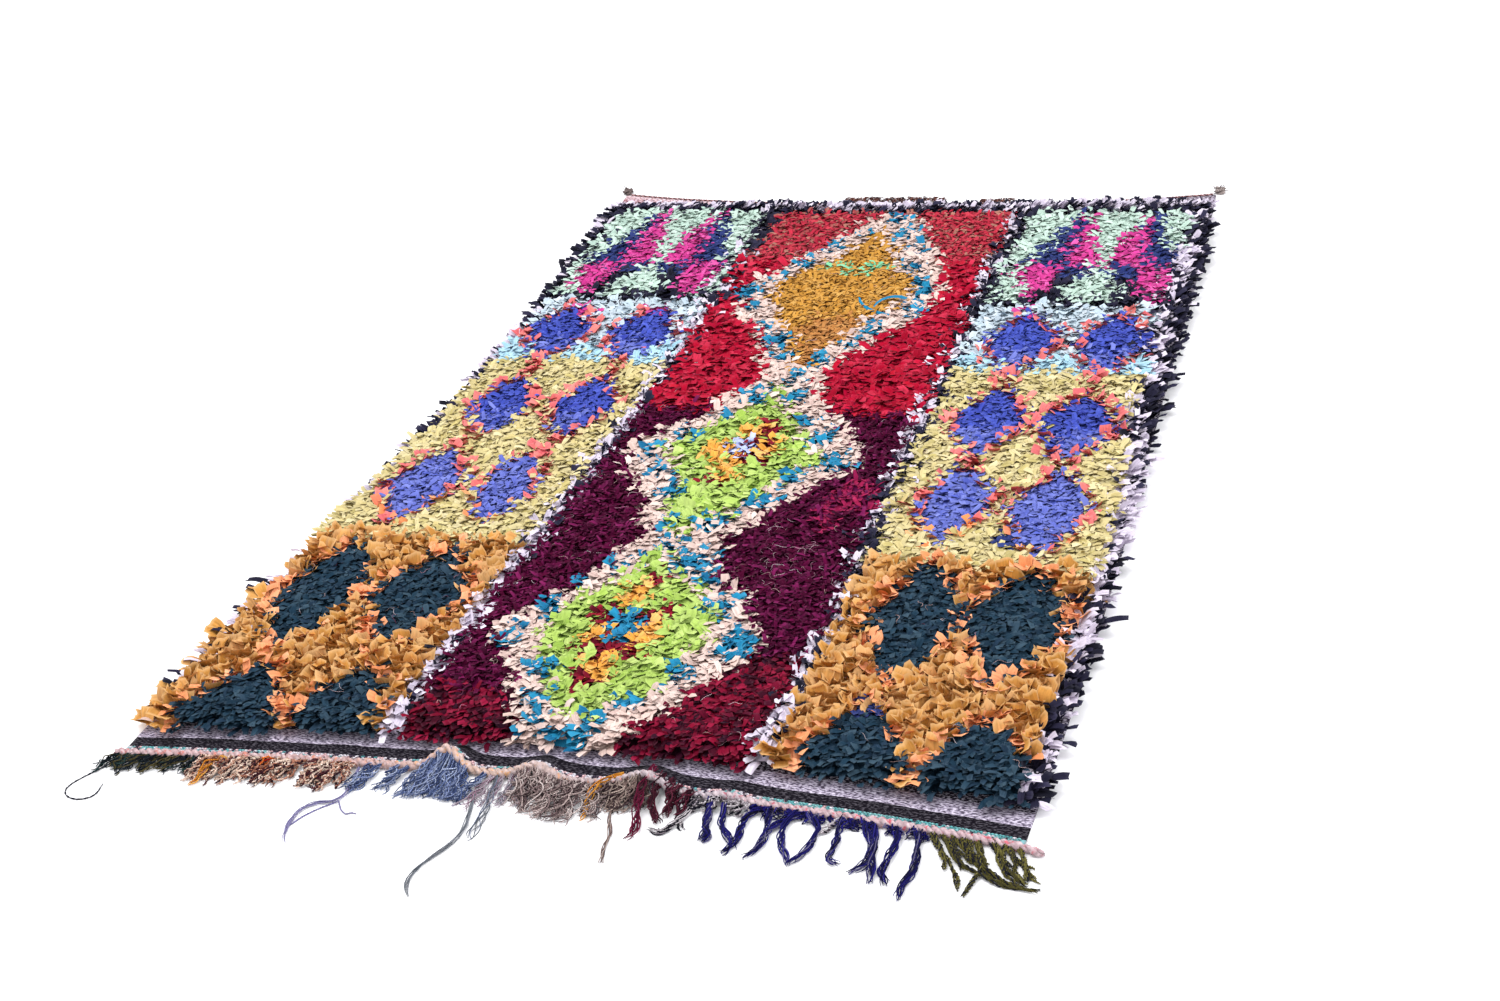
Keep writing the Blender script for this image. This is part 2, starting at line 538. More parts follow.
def add_node(tree, kind, sockets=(), **settings):
    """Adds a node. A socket is given a value or a link from another node's output."""
    made = tree.nodes.new(kind)
    for name, value in settings.items():
        setattr(made, name, value)
    for socket, value in dict(sockets).items():
        if isinstance(value, bpy.types.NodeSocket):
            tree.links.new(value, made.inputs[socket])
        else:
            made.inputs[socket].default_value = value
    return made


def linear(colour):
    """A screen colour, 0 to 255, as linear light."""
    shares = [channel / 255 for channel in colour]
    return tuple(s / 12.92 if s <= 0.04045 else ((s + 0.055) / 1.055) ** 2.4 for s in shares) + (1.0,)


def ramp_of(tree, fraction, stops, interpolation="LINEAR"):
    """A colour ramp through (place, colour) stops."""
    ramp = add_node(tree, "ShaderNodeValToRGB", {"Fac": fraction})
    ramp.color_ramp.interpolation = interpolation
    elements = ramp.color_ramp.elements
    while len(elements) < len(stops):
        elements.new(0.5)
    for element, (place, colour) in zip(elements, sorted(stops)):
        element.position = place
        element.color = linear(colour)
    return ramp.outputs["Color"]


def even_stops(colours, shift=0.0):
    return [((k + shift) / len(colours), colour) for k, colour in enumerate(colours)]


def ranged(tree, value, low, high, to_low, to_high):
    sockets = {"Value": value, "From Min": low, "From Max": high, "To Min": to_low, "To Max": to_high}
    return add_node(tree, "ShaderNodeMapRange", sockets).outputs["Result"]


def worked(tree, operation, first, second):
    return add_node(tree, "ShaderNodeMath", {0: first, 1: second}, operation=operation).outputs[0]


def mixed(tree, share, first, second, blend="MIX"):
    sockets = {0: share, 6: first, 7: second}
    return add_node(tree, "ShaderNodeMix", sockets, data_type="RGBA", blend_type=blend).outputs[2]


def toned(tree, base, value, low, high, dark, light):
    """A colour made darker or lighter as a value goes from low to high."""
    return mixed(tree, 1.0, base, ranged(tree, value, low, high, dark, light), "MULTIPLY")


def attribute(tree, name):
    """The three numbers that a point of the mesh carries under a name."""
    found = add_node(tree, "ShaderNodeAttribute", attribute_name=name, attribute_type="GEOMETRY")
    return add_node(tree, "ShaderNodeSeparateXYZ", {0: found.outputs["Vector"]}).outputs


def cloth_place(tree, across, along):
    """A piece's own cloth map, stretched."""
    place = add_node(tree, "ShaderNodeUVMap", uv_map="Cloth").outputs["UV"]
    return add_node(tree, "ShaderNodeMapping", {"Vector": place, "Scale": (across, along, 1.0)}).outputs[0]


def noise_at(tree, place, scale, detail):
    sockets = {"Vector": place, "Scale": scale, "Detail": detail}
    return add_node(tree, "ShaderNodeTexNoise", sockets).outputs["Fac"]


def stretched_noise(tree, across, along, detail=3.0):
    """Noise over a piece's own cloth map, finer one way than the other."""
    return noise_at(tree, cloth_place(tree, across, along), 1.0, detail)


def bumped(tree, shader, height, distance, strength=0.8):
    bump = add_node(tree, "ShaderNodeBump", {"Height": height, "Distance": distance, "Strength": strength})
    tree.links.new(bump.outputs["Normal"], shader.inputs["Normal"])


def rag_material(name):
    """Worn cotton cloth: each rag a shade of its own, creased lengthwise, paler along its frayed tip."""
    kind = KINDS[name]
    body = kind.colours[0]
    material, tree, shader = new_material("rag_" + name, kind.roughness)
    shade, tone, share = attribute(tree, "rag")
    base = ramp_of(tree, shade, even_stops(kind.colours, 0.5))
    folds = stretched_noise(tree, 260, 30)
    base = toned(tree, base, folds, 0.25, 0.75, 0.72, 1.20)
    base = toned(tree, base, tone, 0.0, 1.0, 0.88, 1.12)
    base = toned(tree, base, share, 0.0, 0.55, 0.95 if sum(body) < DARK_SUM else 1.28, 1.0)
    threads = stretched_noise(tree, 900, 140, 1.0)
    pale = linear([channel + (255 - channel) * 0.26 for channel in body])
    frayed = ranged(tree, threads, 0.55, 0.72, 0.0, kind.fray)
    frayed = worked(tree, "MULTIPLY", frayed, ranged(tree, share, 0.55, 1.0, 0.35, 1.0))
    edge = worked(tree, "MAXIMUM", attribute(tree, "cut")[0], share)
    edge = ranged(tree, edge, 0.84, 0.97, 0.0, 0.75 if kind.cut == "petal" else 0.15)
    base = mixed(tree, edge, base, pale)
    tree.links.new(mixed(tree, frayed, base, pale), shader.inputs["Base Color"])
    weave = worked(tree, "MULTIPLY", stretched_noise(tree, 1400, 1400, 0.0), 0.12)
    bumped(tree, shader, worked(tree, "ADD", weave, folds), 0.0040 * kind.crease + 0.0006)
    return material


def mesh_piece(name, points, faces, material, layers=(), attributes=(), smooth=True):
    """A mesh object from arrays: (n, 3) points, (m, 4) faces, and maps and attributes for each point."""
    mesh = bpy.data.meshes.new(name)
    count, corners = faces.shape
    mesh.vertices.add(len(points))
    mesh.vertices.foreach_set("co", np.asarray(points, np.float32).ravel())
    mesh.loops.add(count * corners)
    mesh.loops.foreach_set("vertex_index", faces.astype(np.int32).ravel())
    mesh.polygons.add(count)
    mesh.polygons.foreach_set("loop_start", np.arange(0, count * corners, corners, dtype=np.int32))
    for layer, places in dict(layers).items():
        uv = mesh.uv_layers.new(name=layer)
        uv.data.foreach_set("uv", np.asarray(places, np.float32)[faces.ravel()].ravel())
    for title, values in dict(attributes).items():
        found = mesh.attributes.new(title, "FLOAT_VECTOR", "POINT")
        found.data.foreach_set("vector", np.asarray(values, np.float32).ravel())
    mesh.update(calc_edges=True)
    mesh.validate()
    if smooth:
        mesh.shade_smooth()
    mesh.materials.append(material)
    return linked(name, mesh)


def linked(name, data):
    made = bpy.data.objects.new(name, data)
    bpy.context.scene.collection.objects.link(made)
    return made


def keep(piece, node):
    """Ties a piece to the rug's body and the solid that it stands for."""
    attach(piece, "root")
    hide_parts(node)


def grid_faces(items, rings, across, closed=False):
    """Quads over many grids of rings by points across, each after the other, closed into tubes if asked."""
    spans = across if closed else across - 1
    ring, column = np.meshgrid(np.arange(rings - 1), np.arange(spans), indexing="ij")
    first = ring * across + column
    second = ring * across + (column + 1) % across
    quad = np.stack([first, second, second + across, first + across], -1).reshape(-1, 4)
    return (quad[None] + (np.arange(items) * rings * across)[:, None, None]).reshape(-1, 4)


def atlas_places(items, rings, across):
    """Places for each item in a cell of its own on one square map."""
    cells = max(1, math.ceil(math.sqrt(items)))
    margin = 0.12
    k = np.arange(items)[:, None, None]
    u = np.linspace(margin, 1 - margin, across)[None, None, :]
    v = np.linspace(margin, 1 - margin, rings)[None, :, None]
    return np.stack([k % cells + u + 0 * v, k // cells + v + 0 * u], -1).reshape(-1, 2) / cells


def point_data(first, second, third):
    """Three numbers for each point of many grids, from arrays that broadcast to their shape."""
    return np.stack(np.broadcast_arrays(first, second, third), -1).reshape(-1, 3)


def stand_rags(x, y, kind, rng):
    """Sets out the rags of some knots. Returns the arrays that ribbons() needs."""
    cut = CUTS[KINDS[kind].cut]
    x, y = np.repeat(x, cut.leaves), np.repeat(y, cut.leaves)
    count = x.size

    def degrees(low, high):
        return np.radians(rng.uniform(low, high, count))

    x = x + rng.normal(0, KNOT_ACROSS * 0.30, count)
    y = y + rng.normal(0, KNOT_ALONG * 0.30, count)
    any_way = rng.uniform(-math.pi, math.pi, count)
    nearwards = -math.pi / 2 + rng.normal(0, 0.55, count)
    heading = np.where(rng.random(count) < cut.near, nearwards, any_way)
    if cut is CUTS["petal"]:
        heading = np.where(rng.random(count) < 0.25, nearwards + math.pi, heading)
    from_front, back = y - pile_front(x), pile_back(x) - y
    leaning = (from_front < 0.024) & (rng.random(count) < 0.8)
    heading = np.where(leaning, nearwards, heading)
    from_left, from_right = x - side_left(y), side_right(y) - x
    bordering = cut is CUTS["border"]
    along_column = np.where(rng.random(count) < 0.6, -1, 1) * math.pi / 2 + rng.normal(0, 0.6, count)
    heading = np.where(bordering & (from_left > 0.08) & (from_right > 0.08), along_column, heading)
    rim = 0.058 if bordering else 0.034
    to_left, to_right = (
        (inside < rim) & (rng.random(count) < 0.85 * (1 - inside / rim) + 0.12)
        for inside in (from_left, from_right)
    )
    aside = rng.normal(0, 0.38 if bordering else 0.55, count)
    heading = np.where(to_left, math.pi + aside, np.where(to_right, aside, heading))
    beyond = to_left | to_right
    farwards = (back < 0.008) & (rng.random(count) < 0.7)
    heading = np.where(farwards, math.pi / 2 + rng.normal(0, 0.5, count), heading)
    heading = np.where((back > 0.016) & (back < 0.045), rng.normal(0, 0.5, count), heading)
    low = np.clip(0.85 + 0.15 * back / 0.05, 0.85, 1)
    front = 1 + 0.20 * np.clip(1 - from_front / 0.03, 0, 1)
    lumps = 1 + 0.12 * smooth_noise(x, y, 0.13, "lumps") + 0.06 * smooth_noise(x, y, 0.05, "small lumps")
    length = cut.length * lumps * low * front * rng.uniform(0.72, 1.22, count)
    length = np.where(beyond, length * rng.uniform(0.55, 1.12, count), length)
    rise = np.radians(cut.rise + rng.normal(0, 8, count))
    fall = np.radians(cut.fall + rng.normal(0, 11, count))
    fall = np.where(leaning, degrees(-50, 5), fall)
    fall = np.where(beyond, degrees(-30, 25), fall)
    rise = np.where(beyond, degrees(25, 65), rise)
    right_part = np.interp(x, (-0.42, -0.28), (0, 1)) > rng.random(count)
    standing = right_part & (back < 0.008)
    raised = right_part & (back > 0.008) & (back < 0.026)
    for where, rises, falls in ((standing, (65, 95), (10, 60)), (raised, (50, 75), (0, 30))):
        rise = np.where(where, degrees(*rises), rise)
        fall = np.where(where, degrees(*falls), fall)
    length = np.where((back > 0.026) & (back < 0.045), length * 0.8, length)
    width = cut.width * rng.uniform(0.68, 1.30, count)
    near_rim = np.minimum(np.minimum(from_left, from_right), np.minimum(from_front, back))
    root = cut.root * np.clip(0.25 + near_rim / 0.030, 0.25, 1) + rng.uniform(0.0, 0.005, count)
    rags = {"x": x, "y": y, "z": cloth_top(x, y) + root, "heading": heading}
    rags |= {"turn": rng.normal(0, 0.45, count), "rise": rise, "fall": fall, "length": length, "width": width}
    rags["wave"] = rng.normal(0, 0.35 if cut.across == 2 else 0.1, count)
    return rags | {"roll": rng.normal(0, 0.18, count), "twist": rng.normal(0, 0.28, count)}, cut


def ribbons(rags, cut, rng):
    """Points of many bent, cupped ribbons of cloth, with the maps and numbers that their material reads."""
    count, rings, across = rags["x"].size, cut.rings, cut.across
    centre = np.stack([rags["x"], rags["y"], rags["z"]], -1)
    step = rags["length"] / (rings - 1)
    offsets = np.linspace(-1, 1, across)
    cup = cut.cup * rng.uniform(0.3, 1.4, count)
    flip = np.where(rng.random(count) < 0.7, 1.0, -1.0)
    points = np.empty((count, rings, across, 3))
    slant = rng.normal(0, 0.20, count)
    for ring in range(rings):
        share = ring / (rings - 1)
        elevation = rags["rise"] + (rags["fall"] - rags["rise"]) * share**0.9
        heading = rags["heading"] + rags["turn"] * share + rags["wave"] * math.sin(TAU * share * 0.8)
        level = np.cos(elevation)
        way = np.stack([level * np.cos(heading), level * np.sin(heading), np.sin(elevation)], -1)
        side = np.stack([-np.sin(heading), np.cos(heading), np.zeros(count)], -1)
        up = np.cross(way, side)
        roll = (rags["roll"] + rags["twist"] * (share - 0.5))[:, None]
        side, up = side * np.cos(roll) + up * np.sin(roll), up * np.cos(roll) - side * np.sin(roll)
        widest = np.interp(share, (0.0, 0.35, 0.75, 1.0), (0.42, 0.86 * cut.belly, 1.0, cut.tip))
        half = rags["width"] * widest / 2
        bend = cup * (0.6 + 0.4 * share)
        for k, offset in enumerate(offsets):
            angle = bend * offset
            sideways = half * np.sin(angle) / bend
            upwards = half * (1 - np.cos(angle)) / bend * flip
            pushed = half * 0.08 * rng.normal(0, 1, count)
            if ring == rings - 1:
                ragged = slant * offset + cut.jag * rng.normal(0, 1, count) - cut.round * offset * offset
                pushed += half * ragged
            point = centre + side * sideways[:, None] + up * upwards[:, None]
            points[:, ring, k] = point + way * pushed[:, None]
        centre = centre + way * step[:, None]
    flat = points.reshape(-1, 3)
    lowest = cloth_top(flat[:, 0], flat[:, 1]) + 0.0012 + 0.002 * rng.random(len(flat))
    flat[:, 2] = np.minimum(np.maximum(flat[:, 2], lowest), HIGHEST)
    shares = np.linspace(0, 1, rings)[None, :, None]
    grid = np.zeros((count, rings, across))
    rag = point_data(rng.random((count, 1, 1)), rng.random((count, 1, 1)), shares + grid)
    starts = [rng.uniform(0, 9, (count, 1, 1)) for _ in range(2)]
    width, length = (rags[name][:, None, None] for name in ("width", "length"))
    cloth = np.stack([starts[0] + width * offsets / 2 + grid, starts[1] + length * shares + grid], -1)
    cut_edge = point_data(np.abs(offsets) + grid if across > 2 else grid, 0.0, 0.0)
    return flat, cloth.reshape(-1, 2), rag, cut_edge


def knot_lattice():
    """The places of the knots: rows along the weft, each knot a little out of line."""
    rng = draws("knots")
    x, y = np.meshgrid(np.arange(-0.80, 0.80, KNOT_ACROSS), np.arange(-1.10, 1.12, KNOT_ALONG))
    x = x + (np.arange(len(x)) % 2)[:, None] * KNOT_ACROSS / 2
    x, y = ((places + rng.uniform(-KNOT_SCATTER, KNOT_SCATTER, places.shape)).ravel() for places in (x, y))
    inside = inside_pile(x, y, 0.004, -0.001, FAR_ROWS_DEPTH)
    return x[inside], y[inside]


def far_rows():
    """The black and white rows across the far end, as knots and their kinds."""
    rng = draws("far rows")
    rows = []
    for distance, white, share in FAR_ROWS:
        x = np.arange(-0.712, 0.735, FAR_ROW_PITCH)
        x = x + rng.uniform(-KNOT_SCATTER, KNOT_SCATTER, x.size)
        y = pile_back(x) - distance + rng.uniform(-0.003, 0.003, x.size)
        y = y + 0.003 * smooth_noise(x, x * 0, 0.09, "row")
        wanted = white + 0.55 * smooth_noise(x, x * 0 + distance, 0.035, "row share")
        kind = np.where(rng.random(x.size) < wanted, INDEX["white"], INDEX["black"])
        kept = rng.random(x.size) < np.interp(x, (-0.72, -0.40, -0.28), (share, share, 1.0))
        rows.append((x[kept], y[kept], kind[kept]))
    return [np.concatenate(column) for column in zip(*rows)]


def under_layer():
    """Low quads under the rags, with their kinds, so that no ground shows between them."""
    cell = 0.0135
    x, y = np.meshgrid(np.arange(-0.78, 0.78, cell), np.arange(-1.10, 1.11, cell))
    middle_x, middle_y = x + cell / 2, y + cell / 2
    inside = inside_pile(middle_x, middle_y, 0.006, 0.004, 0.004)
    kinds = pattern(middle_x, middle_y - LEAN_SHIFT)[inside]
    x, y = x[inside], y[inside]
    x, y = np.stack([x, x + cell, x + cell, x], -1), np.stack([y, y, y + cell, y + cell], -1)
    from_rim = np.minimum(x - side_left(y), side_right(y) - x)
    from_rim = np.minimum(from_rim, np.minimum(y - pile_front(x), pile_back(x) - y))
    height = 0.0080 + 0.0205 * np.clip(from_rim / 0.040, 0, 1)
    height = height + 0.0035 * smooth_noise(x, y, 0.012, "under") + cloth_top(x, y) - CLOTH_THICKNESS
    return np.stack([x, y, height], -1), kinds


def rag_piece(name, x, y, patch):
    """One piece of the pile: all rags of a kind, with the low quads under them."""
    rng = draws(name)
    rags, cut = stand_rags(x, y, name, rng)
    points, cloth, rag, cut_edge = ribbons(rags, cut, rng)
    count = rags["x"].size
    under = patch.reshape(-1, 3)
    corner = np.full((len(under), 2), 0.5 / math.sqrt(max(1, count)))
    atlas = np.concatenate([atlas_places(count, cut.rings, cut.across), corner])
    faces = [grid_faces(count, cut.rings, cut.across), np.arange(len(under)).reshape(-1, 4) + len(points)]
    layers = {"Cloth": np.concatenate([cloth, under[:, :2]]), "OFBake": atlas}
    rag = np.concatenate([rag, np.tile((0.5, 0.4, 0.15), (len(under), 1))])
    attributes = {"rag": rag, "cut": np.concatenate([cut_edge, 0 * under])}
    points, faces = np.concatenate([points, under]), np.concatenate(faces)
    piece = mesh_piece("rags_" + name, points, faces, rag_material(name), layers, attributes)
    keep(piece, "rag_pile")


def rag_pile():
    x, y = knot_lattice()
    lattice = (x, y, pattern(x, y - LEAN_SHIFT))
    x, y, kinds = (np.concatenate(pair) for pair in zip(lattice, far_rows()))
    patches, patch_kinds = under_layer()
    for index, name in enumerate(KIND_NAMES):
        here = kinds == index
        if here.any():
            rag_piece(name, x[here], y[here], patches[patch_kinds == index])


def stray_rags():
    """Single long rags that stick out past the rim or lie on the pile."""
    cut = CUTS["border"]._replace(rings=7, across=3, tip=0.9)
    for number, stray in enumerate(STRAYS, 1):
        rags = {name: getattr(stray, name) for name in ("x", "y", "z", "length", "width")}
        rags |= {name: math.radians(getattr(stray, name)) for name in ("heading", "turn", "rise", "fall")}
        rags |= {"roll": 0.2, "twist": 0.3, "wave": 0.0}
        rags = {name: np.array([value], float) for name, value in rags.items()}
        points, cloth, rag, cut_edge = ribbons(rags, cut, draws(f"stray {number}"))
        layers = {"Cloth": cloth, "OFBake": atlas_places(1, cut.rings, cut.across)}
        faces = grid_faces(1, cut.rings, cut.across)
        material = bpy.data.materials["rag_" + stray.kind]
        attributes = {"rag": rag, "cut": cut_edge}
        piece = mesh_piece(f"stray_rag.{number}", points, faces, material, layers, attributes)
        keep(piece, "rag_pile")


def loose_threads():
    """Fine frayed threads that lie curled on the pile, most of them on the dark parts and round one place."""
    rng = draws("threads")
    count, extra, stations = 1500, 60, 9
    x, y = rng.uniform(-0.70, 0.74, count), rng.uniform(-1.05, 1.04, count)
    kind = np.array(KIND_NAMES)[pattern(x, y)]
    shares = [share for _, share in THREAD_SHARES]
    chance = np.select([np.isin(kind, names) for names, _ in THREAD_SHARES], shares, 0.1)
    gathered = np.exp(-(((x - 0.225) / 0.07) ** 2) - ((y + 0.55) / 0.05) ** 2)
    kept = rng.random(count) < chance + gathered
    x = np.concatenate([x[kept], rng.normal(0.225, 0.060, extra)])
    y = np.concatenate([y[kept], rng.normal(-0.545, 0.035, extra)])
    count = x.size
    share = np.linspace(0, 1, stations)
    heading = rng.uniform(0, TAU, (count, 1)) + rng.normal(0, 1.8, (count, 1)) * share
    waves = share * rng.uniform(0.5, 1.5, (count, 1)) + rng.random((count, 1))
    heading = heading + 0.9 * np.sin(TAU * waves)
    step = rng.uniform(0.015, 0.045, (count, 1)) / (stations - 1)
    height = 0.0345 + 0.004 * smooth_noise(x, y, 0.13, "lumps") + rng.uniform(-0.003, 0.005, count)
    height = height[:, None] + rng.uniform(0.0, 0.006, (count, 1)) * np.sin(math.pi * share)
    x, y = (start[:, None] + np.cumsum(turn(heading) * step, 1) for start, turn in ((x, np.cos), (y, np.sin)))
    path = np.stack([x, y, height], -1)
    colours = ((214, 186, 192), (186, 140, 160), (232, 216, 222), (130, 66, 96), (196, 164, 160))
    material = yarn_material("thread_cotton", even_stops(colours))
    radii = tapered(count, stations, 0.00046)
    keep(yarn_piece("loose_threads", path, radii, 3, material, rng), "rag_pile")


def level_side(way):
    """Level vectors square to the way that a path runs."""
    return np.stack([-way[..., 1], way[..., 0], np.zeros(way.shape[:-1])], -1)


def tube_points(path, radius, sides):
    """Rings round many paths at once: path is (n, m, 3) and radius (n, m)."""
    way = unit(np.gradient(path, axis=1), 1e-12)
    side = np.cross(way, np.array([0.0, 0.0, 1.0]))
    size = np.linalg.norm(side, axis=-1, keepdims=True)
    side = np.where(size > 0.05, side / (size + 1e-12), np.array([1.0, 0.0, 0.0]))
    for k in range(1, path.shape[1]):
        before = side[:, k - 1]
        side[:, k] = unit(before - way[:, k] * (before * way[:, k]).sum(-1, keepdims=True), 1e-12)
    up = np.cross(side, way)
    angle = np.linspace(0, TAU, sides, endpoint=False)[:, None]
    ring = side[:, :, None] * np.cos(angle) + up[:, :, None] * np.sin(angle)
    return path[:, :, None] + ring * radius[:, :, None, None]


def yarn_piece(name, path, radius, sides, material, rng, colour=None):
    """Many yarns as one mesh of open tubes. Each yarn has a shade of its own, unless the shades are given."""
    count, stations = path.shape[:2]
    points = tube_points(path, radius, sides).reshape(-1, 3)
    points[:, 2] = np.maximum(points[:, 2], 0.0004)
    faces = grid_faces(count, stations, sides, closed=True)
    shade = rng.random(count) if colour is None else colour
    tone = rng.random((count, 1, 1))
    grid = np.zeros((count, stations, sides))
    rag = point_data(shade[:, None, None], tone, np.linspace(0, 1, stations)[None, :, None] + grid)
    length = np.linalg.norm(np.diff(path, axis=1), axis=-1).cumsum(1)
    length = np.concatenate([np.zeros((count, 1)), length], 1)[:, :, None]
    across = np.arange(sides) / sides * 0.006 + rng.uniform(0, 9, (count, 1, 1))
    cloth = np.stack([across + grid, length + rng.uniform(0, 9, (count, 1, 1)) + grid], -1)
    layers = {"Cloth": cloth.reshape(-1, 2), "OFBake": atlas_places(count, stations, sides)}
    return mesh_piece(name, points, faces, material, layers, {"rag": rag})


def tapered(count, stations, radius, end=0.35):
    """Radii that thin towards both ends of each yarn."""
    profile = np.interp(np.linspace(0, 1, stations), (0.0, 0.04, 0.9, 1.0), (0.8, 1.0, 0.85, end))
    return np.tile(radius * profile, (count, 1))


def yarn_material(name, stops):
    """Spun wool: a colour for each yarn with a spiral of darker furrows and fuzzy speckles."""
    twist = 520
    material, tree, shader = new_material(name, 0.95, 0.04)
    shade, tone, _ = attribute(tree, "rag")
    base = ramp_of(tree, shade, stops, "CONSTANT")
    sockets = {"Vector": cloth_place(tree, twist, twist), "Scale": 0.32, "Distortion": 2.0}
    wave = add_node(tree, "ShaderNodeTexWave", sockets, wave_type="BANDS", bands_direction="DIAGONAL")
    furrows = wave.outputs["Fac"]
    base = toned(tree, base, furrows, 0.0, 1.0, 0.62, 1.12)
    base = toned(tree, base, tone, 0.0, 1.0, 0.80, 1.20)
    base = toned(tree, base, stretched_noise(tree, 700, 400, 2.0), 0.3, 0.7, 0.80, 1.18)
    tree.links.new(base, shader.inputs["Base Color"])
    bumped(tree, shader, furrows, 0.0008)
    return material


def along_route(route, stations):
    """Evenly spaced, rounded points along a route of (x, y) places."""
    length = np.concatenate([[0], np.linalg.norm(np.diff(route, axis=0), axis=1).cumsum()])
    fine = np.linspace(0, length[-1], stations * 4)
    points = np.stack([np.interp(fine, length, route[:, k]) for k in range(2)], -1)
    for _ in range(3):
        points[1:-1] = (points[:-2] + 2 * points[1:-1] + points[2:]) / 4
    window = max(3, stations // 3)
    padded = np.concatenate([np.repeat(points[:1], window, 0), points, np.repeat(points[-1:], window, 0)])
    kernel = np.ones(2 * window + 1) / (2 * window + 1)
    rounded = np.stack([np.convolve(padded[:, k], kernel, "valid") for k in range(2)], -1)
    rounded[0], rounded[-1] = points[0], points[-1]
    places = np.linspace(0, len(rounded) - 1, stations)
    return np.stack([np.interp(places, np.arange(len(rounded)), rounded[:, k]) for k in range(2)], -1)


def threads_along(route, look, rng, stations=19):
    """The threads of one hank: they follow its route side by side, cross and stray, and rest on the floor."""
    count = look.threads
    middle = along_route(np.asarray(route, float), stations)
    share = np.linspace(0, 1, stations)
    angle = rng.uniform(0, TAU, count)
    out = np.sqrt(rng.random(count)) * look.bundle / 2
    turn = rng.normal(look.twist, 0.25 * abs(look.twist) + 0.2, count) * TAU
    swirl = angle[:, None] + turn[:, None] * share
    side = level_side(unit(np.gradient(middle, axis=0)))
    spread = out[:, None] * (1 + look.fan * share**1.5)
    waves = rng.uniform(0.6, 2.2, (count, 1)) * share + rng.random((count, 1))
    sideways = spread * np.cos(swirl) + look.stray * share * np.sin(TAU * waves)
    reach = 1 + rng.uniform(-0.16, 0.06, count) * 0.9
    steps = share[None] * reach[:, None]
    x, y, side_x, side_y = (
        np.array([np.interp(row, share, line) for row in steps]) for line in (*middle.T, *side.T[:2])
    )
    x, y = x + side_x * sideways, y + side_y * sideways
    curl = look.curl * np.minimum(1, 3 * share) * rng.uniform(0.5, 1.3, (count, 1))
    phase = TAU * (share[None] * rng.uniform(2.0, 4.2, (count, 1)) + rng.random((count, 1)))
    x, y = x + curl * np.sin(phase), y + curl * 0.8 * np.cos(phase)
    root_lift = lift(np.clip(x[:, :1], *NEAR_CORNERS), 0.0) if look.near else 0.0
    drop = np.clip(1 - share[None] * 3.0, 0, 1) ** 1.5
    hump = look.rise * np.sin(math.pi * np.clip(share * 1.15, 0, 1)) * rng.uniform(0.1, 1.0, (count, 1))
    height = look.bundle / 2 + spread * np.sin(swirl) * 0.8
    z = look.radius + np.maximum(0, height) * (1 - 0.35 * share) + (root_lift + 0.002) * drop + hump
    return np.stack([x, y, z], -1)


def plied(path, offset, turns, rng):
    """Two plies wound round each thread."""
    way = unit(np.gradient(path, axis=1))
    side = level_side(way)
    angle = (TAU * (turns * np.linspace(0, 1, path.shape[1])[None] + rng.random((len(path), 1))))[..., None]
    swing = offset * (side * np.cos(angle) + np.cross(way, side) * np.sin(angle))
    return np.concatenate([path + swing, path - swing])


# How a hank of fringe yarn looks: threads in it, their radius, the width of the hank, how they twist, fan
# out and stray, how far they curl and rise, whether each is plied, and whether it lies at the near end
Look = namedtuple("Look", "threads radius bundle twist fan stray curl rise ply near")
TUFT = Look(5, 0.0013, 0.0075, 0.6, 0.8, 0.006, 0.0018, 0.006, 0, True)
PLY = Look(3, 0.0018, 0.0080, 1.0, 0.4, 0.008, 0.0042, 0.010, 1, True)
WOOL = Look(12, 0.0012, 0.0100, 0.7, 0.8, 0.009, 0.0032, 0.009, 0, True)
THIN = Look(7, 0.0010, 0.0060, 0.5, 1.3, 0.008, 0.0024, 0.004, 0, True)
CURLS = Look(9, 0.0013, 0.0100, 0.5, 0.6, 0.009, 0.0062, 0.012, 0, True)
HANK = Look(13, 0.00125, 0.0096, 0.9, 0.0, 0.0024, 0.0018, 0.002, 0, True)
STRAND = Look(3, 0.0017, 0.0060, 0.8, 0.6, 0.003, 0.0012, 0.002, 1, True)
LOOSE = Look(7, 0.0010, 0.0054, 1.4, 0.0, 0.0022, 0.0014, 0.001, 0, True)
BRIGHT = Look(5, 0.0016, 0.0070, 1.2, 0.2, 0.0040, 0.0026, 0.020, 0, True)
FAT = Look(11, 0.0014, 0.0115, 0.9, 0.0, 0.0040, 0.0024, 0.018, 0, True)
SINGLE = Look(1, 0.0011, 0.0010, 0.0, 0.0, 0.0, 0.0, 0.000, 1, True)
FUZZ = Look(6, 0.0009, 0.0070, 0.3, 0.9, 0.004, 0.0022, 0.006, 0, False)

